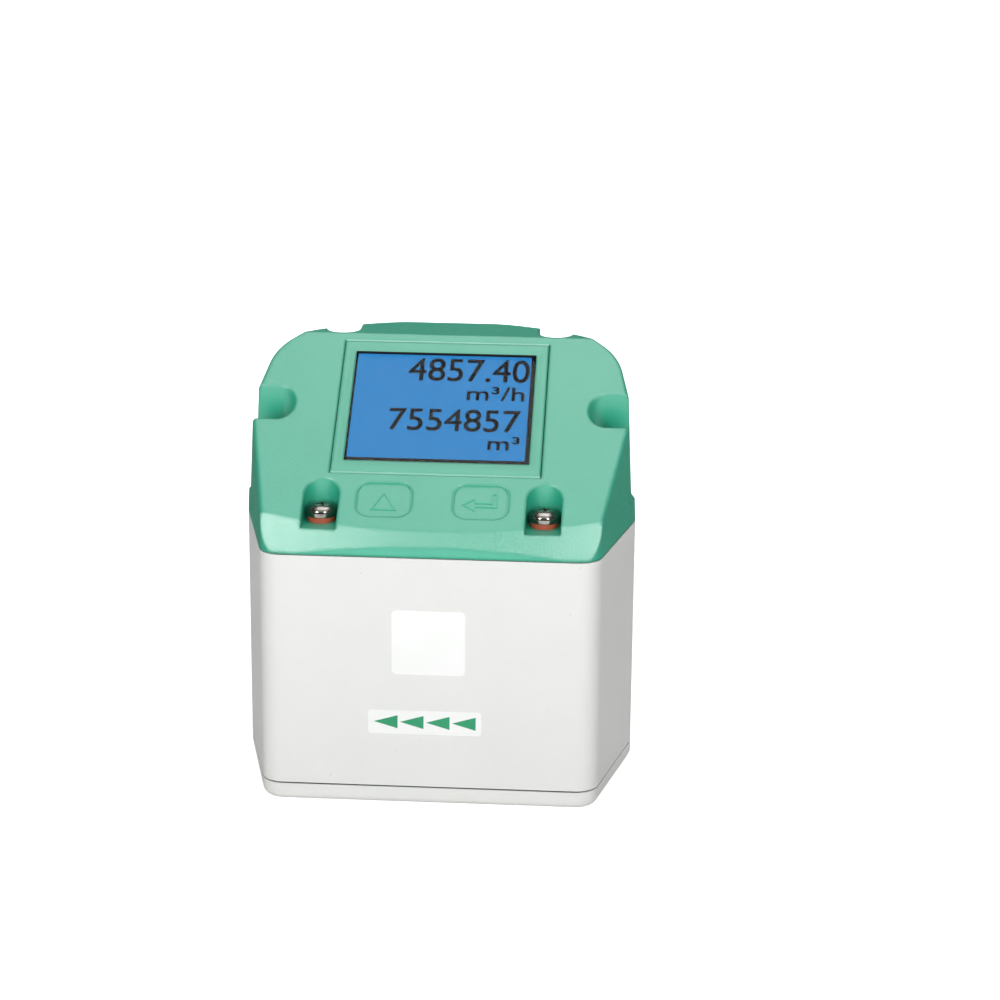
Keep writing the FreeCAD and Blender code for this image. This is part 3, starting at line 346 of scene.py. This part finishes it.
def ring(outer, inner, low, high):
    """Form between two plane outlines of as many corners, both anticlockwise."""
    count = len(outer)
    loops = [(outer, low), (outer, high), (inner, high), (inner, low)]
    points = [(spot[0], spot[1], height) for loop, height in loops for spot in loop]
    faces = []
    for loop in range(4):
        for number in range(count):
            after = (number + 1) % count
            near = loop * count
            far = (loop + 1) % 4 * count
            faces.append((near + number, near + after, far + after, far + number))
    return points, faces


def band(corners, width, low, high):
    """Raised line of a given width along the inside of a plane outline."""
    return ring(corners, inset(corners, width), low, high)


def rounded(left, low, right, high, radius, steps=6):
    """Rectangle with round corners, anticlockwise."""
    corners = []
    centres = [(right - radius, low + radius), (right - radius, high - radius)]
    centres += [(left + radius, high - radius), (left + radius, low + radius)]
    for quarter, (x, y) in enumerate(centres):
        for step in range(steps + 1):
            angle = math.pi / 2 * (quarter - 1 + step / steps)
            corners.append((x + radius * math.cos(angle), y + radius * math.sin(angle)))
    return corners


def cut(mesh, form):
    """The mesh with a closed form taken out of it."""
    piece = bpy.data.objects.new("cut", mesh)
    tool = bpy.data.objects.new("tool", form.mesh("tool"))
    for item in (piece, tool):
        bpy.context.scene.collection.objects.link(item)
    modifier = piece.modifiers.new("cut", "BOOLEAN")
    modifier.object = tool
    modifier.solver = "EXACT"
    result = bpy.data.meshes.new_from_object(piece.evaluated_get(bpy.context.evaluated_depsgraph_get()))
    for item in (piece, tool):
        bpy.data.objects.remove(item)
    return result


def upright(x, y, z):
    return Matrix.Translation((x, y, z))


def hanging(x, y, z):
    return Matrix.Translation((x, y, z)) @ Matrix.Rotation(math.pi, 4, "X")


# Screws: domed heads with a cross recess, threaded shanks, standing with the head's seat at z = 0

def add_screws(name, spots, head_radius, side_height, head_height, shank_radius, length, pitch, body, node):
    """Screws of one kind at several spots, in one piece that replaces a node."""
    tip = 0.3
    neck = 0.4
    rounding = 0.12
    groove = 0.24
    dome_steps = 12
    low_end = tip - length
    profile = [(0, -length), (shank_radius - tip, -length)]
    profile += thread_rings(shank_radius, pitch, low_end, -neck)
    profile += [(shank_radius, 0), (head_radius - rounding, 0), (head_radius, rounding)]
    dome = head_height - side_height
    for step in range(dome_steps + 1):
        angle = math.pi / 2 * step / dome_steps
        radius = head_radius * math.cos(angle) if step < dome_steps else 0
        profile.append((radius, side_height + dome * math.sin(angle)))
    points, faces = turned(profile, 48, thread(shank_radius, groove, pitch, low_end, -neck))
    screws = Form()
    recess = Form()
    # Cross recess that narrows towards its floor
    wing = head_radius * 0.42
    half = head_radius * 0.09
    low = head_height * 0.5
    high = head_height + 0.5
    narrowing = 0.55
    cross = [(wing, -half), (wing, half), (half, half), (half, wing), (-half, wing), (-half, half)]
    cross += [(-wing, half), (-wing, -half), (-half, -half), (-half, -wing), (half, -wing), (half, -half)]
    recess_points, recess_faces = prism(cross, low, high)
    for number in range(len(cross)):
        x, y, z = recess_points[number]
        recess_points[number] = (x * narrowing, y * narrowing, z)
    for spot in spots:
        screws.add(points, faces, spot)
        recess.add(recess_points, recess_faces, spot)
    mesh = cut(screws.mesh(name, smooth=True), recess)
    mesh.set_sharp_from_angle(angle=math.radians(32))
    piece = new_piece(name, mesh, "bright_screw", body)
    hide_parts(node)


def four_corners(across, along):
    return [(x, y) for x in (-across, across) for y in (-along, along)]


cover_seats = four_corners(COVER_SCREW_ACROSS, COVER_SCREW_ALONG)
cover_seats += [(-SIDE_SCREW_ACROSS, 0), (SIDE_SCREW_ACROSS, 0)]
cover_spots = []
for number, (x, y) in enumerate(cover_seats):
    # Each screw came to rest at a turn of its own
    turn = 0.4 + 0.7 * number
    cover_spots.append(upright(x, y, COVER_SCREW_SEAT) @ Matrix.Rotation(turn, 4, "Z"))
add_screws(
    "cover_screw_heads", cover_spots, head_radius=3.0, side_height=0.8, head_height=2.2,
    shank_radius=1.45, length=4.9, pitch=0.7, body="display_head", node="cover_screws")
base_seats = four_corners(BASE_SCREW_ACROSS, BASE_SCREW_ALONG)
base_spots = [hanging(x, y, BASE_SCREW_SEAT) for x, y in base_seats]
add_screws(
    "base_screw_heads", base_spots, head_radius=2.8, side_height=0.9, head_height=1.5,
    shank_radius=1.25, length=11.0, pitch=0.8, body="housing", node="base_screws")


# Connectors: threaded noses with chamfered flanges, standing on the rear wall at z = 0 and looking along Z

def add_connector(letter, across):
    """Shell of one connector, in place of its node."""
    bore = 4.4
    barrel = 7.5
    barrel_end = -8
    flange = 9
    flange_low = 0.8
    flange_high = 3.3
    crest = 6
    groove = 0.5
    pitch = 1.0
    thread_low = 4.0
    thread_high = 11.3
    nose_end = 11.8
    chamfer = 0.3
    profile = [(bore, barrel_end), (barrel, barrel_end), (barrel, flange_low), (flange - chamfer, flange_low)]
    profile += [(flange, flange_low + chamfer), (flange, flange_high - chamfer)]
    profile += [(flange - chamfer, flange_high), (crest, flange_high)]
    profile += thread_rings(crest, pitch, thread_low, thread_high)
    profile += [(crest - groove, nose_end), (bore + chamfer, nose_end), (bore, nose_end - chamfer)]
    points, faces = turned(profile, 72, thread(crest, groove, pitch, thread_low, thread_high), closed=True)
    shell = Form()
    looking_back = Matrix.Rotation(-math.pi / 2, 4, "X")
    shell.add(points, faces, Matrix.Translation((across, half_depth, CONNECTOR_HEIGHT)) @ looking_back)
    name = f"connector_nose_{letter}"
    piece = new_piece(name, shell.mesh(name, smooth=True), "nickel", "housing")
    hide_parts(f"connector_shell_{letter}")


add_connector("a", -CONNECTOR_ACROSS)
add_connector("b", CONNECTOR_ACROSS)


# Sloped face of the cover: x across, y up the face from its front edge, z out of it
on_face = Matrix.Translation((0, -half_depth, FACE_HEIGHT)) @ Matrix.Rotation(math.radians(FACE_TILT), 4, "X")
# The same place for a section drawn across the face and run along it, with z to the right
along_face = on_face @ Matrix(((0, 0, 1, 0), (1, 0, 0, 0), (0, 1, 0, 0), (0, 0, 0, 1)))


def seen_on_face(node):
    """Corners of a node's mesh in millimetres, as x across, y up the face and z out of it."""
    to_face = on_face.inverted()
    return [to_face @ (vertex.co / MM) for vertex in nodes[node].data.vertices]


# Signs standing in the two key recesses, sunk a little into their floors, in a lighter green that paints
# light over the shade of the recesses
SINK = 0.05
SIGN_LINE = 0.3
SIGN_RISE = 0.12
signs = Form()
step_up = [(-11.7, 7.25), (-6.75, 7.25), (-9.25, 11.7)]
enter = [(5.5, 9.1), (8.2, 7.4), (8.2, 8.5), (12.25, 8.5), (12.25, 11.9), (11.1, 11.9)]
enter += [(11.1, 9.7), (8.2, 9.7), (8.2, 10.8)]
for outline in (step_up, enter):
    signs.add(*band(outline, SIGN_LINE, KEY_FLOOR - SINK, KEY_FLOOR + SIGN_RISE), on_face)
new_piece("key_signs", signs.mesh("key_signs"), "green_painted_light", "display_head")

# Crisp rims inside the rounded edges of the two recesses, in the same lighter green: painted light over the
# shade in the recess corners
RIM_WIDTH = 0.16
RIM_TOP = -0.02
rims = Form()
for centre in (-KEY_ACROSS, KEY_ACROSS):
    left = centre - KEY_HALF_WIDTH
    right = centre + KEY_HALF_WIDTH
    outer = rounded(left, KEY_LOW, right, KEY_HIGH, KEY_RADIUS)
    inner = rounded(
        left + RIM_WIDTH, KEY_LOW + RIM_WIDTH,
        right - RIM_WIDTH, KEY_HIGH - RIM_WIDTH, KEY_RADIUS - RIM_WIDTH)
    rims.add(*ring(outer, inner, KEY_FLOOR - SINK, RIM_TOP), on_face)
new_piece("key_rims", rims.mesh("key_rims"), "green_painted_light", "display_head")

# Window over the screen, and behind it the lit sheet of the screen with a dark border
PANE_ROUNDING = 0.6
PANE_LIFT = 0.08
SCREEN_GAP = 0.04
SHEET = 0.03
pane_points = seen_on_face("display_window")
pane_left, pane_low, pane_back = (min(point[axis] for point in pane_points) for axis in range(3))
pane_right, pane_high, pane_front = (max(point[axis] for point in pane_points) for axis in range(3))
pane_back += PANE_LIFT
screen_front = pane_back - SCREEN_GAP
pane_outline = rounded(pane_left, pane_low, pane_right, pane_high, PANE_ROUNDING)
pane = Form()
pane.add(*prism(pane_outline, pane_back, pane_front), on_face)
piece = new_piece("window_pane", pane.mesh("window_pane"), "clear_window", "display_head")
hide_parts("display_window")
lit_outline = rounded(left=-17.35, low=20.4, right=16.75, high=46.75, radius=0.3)
border = Form()
border.add(*ring(pane_outline, lit_outline, screen_front - SHEET, screen_front), on_face)
new_piece("screen_border", border.mesh("screen_border"), "dark_segment", "display_head")
lit = Form()
lit.add(*prism(lit_outline, screen_front - SHEET, screen_front), on_face)
new_piece("screen_sheet", lit.mesh("screen_sheet"), "blue_screen", "display_head")

# Painted highlights along the seam above and below the bezel: strips in a much lighter green, lowest on the
# side that faces down the slope
LIP = 0.1
SEAM_DEPTH = -0.25
SEAM_LOW_SIDE = -0.02
bezel_front = [point for point in seen_on_face("display_bezel") if point.z > -LIP]
bezel_left, bezel_low = (min(point[axis] for point in bezel_front) for axis in range(2))
bezel_right, bezel_high = (max(point[axis] for point in bezel_front) for axis in range(2))
seams = Form()
for low, rise in ((bezel_low - SEAM, 0.01), (bezel_high, 0.06)):
    high = low + SEAM * 2
    section = [(low, SEAM_DEPTH), (high, SEAM_DEPTH), (high, rise), (low, SEAM_LOW_SIDE)]
    seams.add(*prism(section, bezel_left, bezel_right), along_face)
new_piece("bezel_seams", seams.mesh("bezel_seams"), "green_painted_highlight", "display_head")

# Painted shade above the window: a dark strip over the wall of its opening and a little of the bezel's front
EDGE_COVER = 0.02
EDGE_WIDTH = 0.28
EDGE_RISE = 0.015
sight = [point for point in bezel_front if bezel_left + LIP < point.x < bezel_right - LIP]
sight_left = min(point.x for point in sight)
sight_right = max(point.x for point in sight)
sight_high = max(point.y for point in sight)
low = sight_high - EDGE_COVER
high = sight_high + EDGE_WIDTH
edge = Form()
section = [(low, pane_front), (high, pane_front), (high, EDGE_RISE), (low, EDGE_RISE)]
edge.add(*prism(section, sight_left, sight_right), along_face)
new_piece("window_painted_shade", edge.mesh("window_painted_shade"), "dark_segment", "display_head")


# Reading on the screen

SEGMENT = 0.02
BOLDER = 0.06


def add_reading(name, words, left, low, right, high):
    """Words stretched to fill a box on the screen, laid four times a little apart to make them bolder."""
    curve = bpy.data.curves.new(name, "FONT")
    curve.body = words
    curve.resolution_u = 6
    curve.extrude = 0.01
    item = bpy.data.objects.new(name, curve)
    bpy.context.scene.collection.objects.link(item)
    mesh = bpy.data.meshes.new_from_object(item.evaluated_get(bpy.context.evaluated_depsgraph_get()))
    bpy.data.objects.remove(item)
    near = [min(vertex.co[axis] for vertex in mesh.vertices) for axis in range(3)]
    far = [max(vertex.co[axis] for vertex in mesh.vertices) for axis in range(3)]
    words_form = Form()
    faces = [tuple(face.vertices) for face in mesh.polygons]
    for aside, up in ((-BOLDER, -BOLDER), (BOLDER, -BOLDER), (-BOLDER, BOLDER), (BOLDER, BOLDER)):
        points = []
        for vertex in mesh.vertices:
            share = [(vertex.co[axis] - near[axis]) / (far[axis] - near[axis]) for axis in range(3)]
            x = left + share[0] * (right - left) + aside
            y = low + share[1] * (high - low) + up
            points.append((x, y, screen_front + share[2] * SEGMENT))
        words_form.add(points, faces, on_face)
    new_piece(name, words_form.mesh(name), "dark_segment", "display_head")


# Each reading's box on the sloped face: left, low, right and high
add_reading("flow_reading", "4857.40", -7.1, 40.15, 16.5, 45.9)
add_reading("flow_unit", "m\u00b3/h", 4.7, 35.4, 15.8, 38.9)
add_reading("total_reading", "7554857", -10.0, 27.45, 15.35, 32.95)
add_reading("total_unit", "m\u00b3", 9.5, 23.0, 15.5, 26.35)

# Flow label: a sheet on the front wall with four triangles that point along the flow
on_front = Matrix.Translation((0, -half_depth, 0)) @ Matrix.Rotation(math.pi / 2, 4, "X")
LABEL_SHEET = 0.13
PRINT_LOW = 0.1
PRINT_HIGH = 0.15
FIRST_TIP = -10.35
ARROW_PITCH = 4.96
ARROW_LENGTH = 4.5
ARROW_HALF = 1.33
ARROW_MIDDLE = 16.95
label_outline = rounded(left=-11.5, low=14.5, right=10.1, high=19.3, radius=0.6)
sheet = Form()
sheet.add(*prism(label_outline, 0, LABEL_SHEET), on_front)
piece = new_piece("flow_label_sheet", sheet.mesh("flow_label_sheet"), "white_label", "housing")
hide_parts("flow_label")
arrows = Form()
for number in range(4):
    tip = FIRST_TIP + ARROW_PITCH * number
    end = tip + ARROW_LENGTH
    triangle = [(tip, ARROW_MIDDLE), (end, ARROW_MIDDLE - ARROW_HALF), (end, ARROW_MIDDLE + ARROW_HALF)]
    arrows.add(*prism(triangle, PRINT_LOW, PRINT_HIGH), on_front)
new_piece("flow_arrows", arrows.mesh("flow_arrows"), "green_ink", "housing")


# Camera at the photograph's angle

def aim_camera(yaw, pitch, roll, distance, shift_right, shift_up, focal, target):
    """Camera whose picture is 1000 pixels wide, with the focal length in those pixels."""
    yaw, pitch, roll = (math.radians(angle) for angle in (yaw, pitch, roll))
    back = Vector((math.sin(yaw) * math.cos(pitch), -math.cos(yaw) * math.cos(pitch), math.sin(pitch)))
    right = Vector((0, 0, 1)).cross(back).normalized()
    up = back.cross(right)
    rolled_right = right * math.cos(roll) + up * math.sin(roll)
    rolled_up = up * math.cos(roll) - right * math.sin(roll)
    place = Vector(target) + back * distance - rolled_right * shift_right - rolled_up * shift_up
    data = bpy.data.cameras.new("camera")
    data.sensor_width = 36
    data.lens = focal / 1000 * data.sensor_width
    data.clip_start = 0.01
    data.clip_end = 50
    camera = bpy.data.objects.new("camera", data)
    turn = Matrix((rolled_right, rolled_up, back)).transposed()
    camera.matrix_world = Matrix.Translation(place * MM) @ turn.to_4x4()
    bpy.context.scene.collection.objects.link(camera)
    bpy.context.scene.camera = camera


aim_camera(
    yaw=3.702, pitch=17.287, roll=0.519, distance=569.05,
    shift_right=-11.573, shift_up=-11.53, focal=2895.82, target=(0, 0, 40.6))


# Floor and light

class Rays:
    """Node tree with sums over the kinds of light path that reach a surface."""

    def __init__(self, tree):
        self.tree = tree
        self.path = tree.nodes.new("ShaderNodeLightPath")

    def level(self, plain, camera=0.0, glossy=0.0, transmission=0.0):
        """A plain level, and what is added to it for each kind of ray."""
        total = None
        parts = {"Is Camera Ray": camera, "Is Glossy Ray": glossy, "Is Transmission Ray": transmission}
        for kind, amount in parts.items():
            add = self.tree.nodes.new("ShaderNodeMath")
            add.operation = "MULTIPLY_ADD"
            add.inputs[1].default_value = amount
            add.inputs[2].default_value = plain
            self.tree.links.new(self.path.outputs[kind], add.inputs[0])
            if total:
                self.tree.links.new(total, add.inputs[2])
            total = add.outputs[0]
        return total


# Levels of the surround and the floor, and what mirror-like, camera and transmitted rays see beside them
AMBIENT = 0.29
SURROUND_IN_GLOSS = -0.17
FLOOR_GREY = 0.9
FLOOR_IN_GLOSS = -0.8
FLOOR_GLOW = 0.72
FLOOR_REACH = 6

world = bpy.data.worlds.new("studio")
bpy.context.scene.world = world
world.use_nodes = True
rays = Rays(world.node_tree)
background = rays.tree.nodes["Background"]
background.inputs["Color"].default_value = (1, 1, 1, 1)
white_out = 1 - AMBIENT
strength = rays.level(AMBIENT, camera=white_out, glossy=SURROUND_IN_GLOSS, transmission=white_out)
rays.tree.links.new(strength, background.inputs["Strength"])

floor_mesh = bpy.data.meshes.new("floor")
floor_corners = [(-1, -1), (1, -1), (1, 1), (-1, 1)]
floor_mesh.from_pydata([(x * FLOOR_REACH, y * FLOOR_REACH, 0) for x, y in floor_corners], [], [(0, 1, 2, 3)])
floor = bpy.data.objects.new("floor", floor_mesh)
bpy.context.scene.collection.objects.link(floor)
floor_finish = bpy.data.materials.new("floor")
floor_finish.use_nodes = True
rays = Rays(floor_finish.node_tree)
paint = rays.tree.nodes["Principled BSDF"]
paint.inputs["Roughness"].default_value = 0.9
paint.inputs["Emission Color"].default_value = (1, 1, 1, 1)
shade = rays.tree.nodes.new("ShaderNodeCombineColor")
grey = rays.level(FLOOR_GREY, glossy=FLOOR_IN_GLOSS)
for channel in ("Red", "Green", "Blue"):
    rays.tree.links.new(grey, shade.inputs[channel])
rays.tree.links.new(shade.outputs["Color"], paint.inputs["Base Color"])
glow = rays.level(0, camera=FLOOR_GLOW, transmission=FLOOR_GLOW)
rays.tree.links.new(glow, paint.inputs["Emission Strength"])
floor_mesh.materials.append(floor_finish)


def add_lamp(name, place, size, power, target=(0, 0, 0.045), diffuse=True, gloss=True):
    data = bpy.data.lights.new(name, "AREA")
    data.shape = "RECTANGLE"
    data.size, data.size_y = size
    data.energy = power
    lamp = bpy.data.objects.new(name, data)
    lamp.location = place
    lamp.rotation_euler = (Vector(target) - Vector(place)).to_track_quat("-Z", "Y").to_euler()
    lamp.visible_diffuse = diffuse
    lamp.visible_glossy = gloss
    lamp.visible_camera = False
    bpy.context.scene.collection.objects.link(lamp)


add_lamp("key_left", (-0.3, -0.7, 0.2), (0.3, 0.3), 1.7, gloss=False)
add_lamp("key_right", (0.3, -0.7, 0.2), (0.3, 0.3), 1.7, gloss=False)
add_lamp("back", (0, 0.8, 0.35), (0.6, 0.3), 2.6, gloss=False)
add_lamp("sky", (0, 0.35, 1.0), (0.6, 0.6), 2.8)
add_lamp("overhead", (0, 0, 1.2), (1.2, 1.2), 4.5, diffuse=False)
add_lamp("card", (0, -0.45, 0.004), (1.0, 0.7), 4.2, (0, -0.45, 1), diffuse=False)
add_lamp("back_card", (0, 0.75, 0.004), (1.0, 0.6), 3.0, (0, 0.75, 1), diffuse=False)
add_lamp("glint_left", (-0.44, -0.6, 0.78), (0.14, 0.14), 7, diffuse=False)
add_lamp("glint_right", (0.42, -0.6, 0.78), (0.14, 0.14), 9, diffuse=False)

bpy.context.scene.view_settings.view_transform = "Standard"
